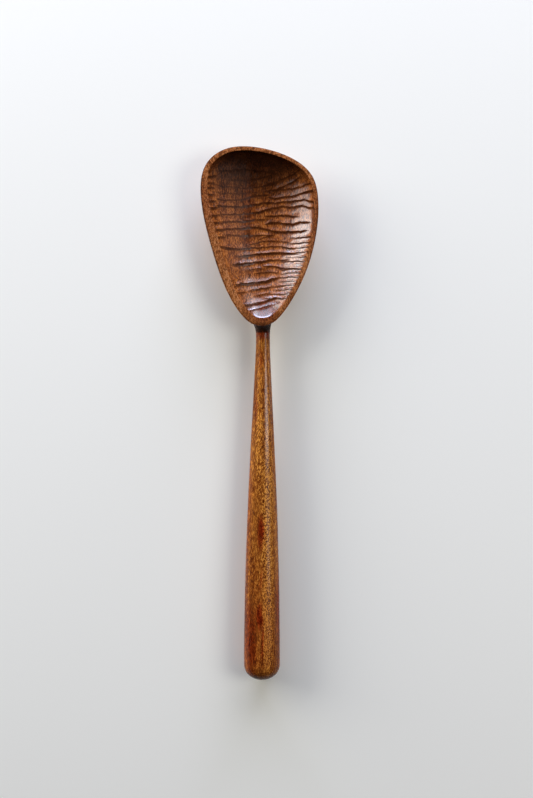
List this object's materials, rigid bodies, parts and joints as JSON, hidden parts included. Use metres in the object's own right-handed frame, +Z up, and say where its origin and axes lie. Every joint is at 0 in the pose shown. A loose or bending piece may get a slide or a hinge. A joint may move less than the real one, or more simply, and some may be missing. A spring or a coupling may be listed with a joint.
{
  "type": "wooden cooking spoon",
  "caption": "Hand-carved wooden cooking spoon with an egg-shaped bowl, a flat rim, a slim neck and a round tapered handle.",
  "frame": {"origin": "under the middle of the whole spoon's box, on the table that the spoon rests on", "axes": "+Y from the handle's end to the bowl's tip, +Z up out of the hollow, +X to the right seen from above with the tip away"},
  "size_m": [0.066, 0.3, 0.0203],
  "materials": {
    "bowl_wood": "gouge-cut hardwood, oiled, satin in the hollow and nearly matt on the rim",
    "handle_wood": "scraped and oiled hardwood, soft sheen, streaked grain"
  },
  "bodies": {
    "root": {"bowl": "bowl_wood", "handle": "handle_wood"}
  },
  "joints": []
}
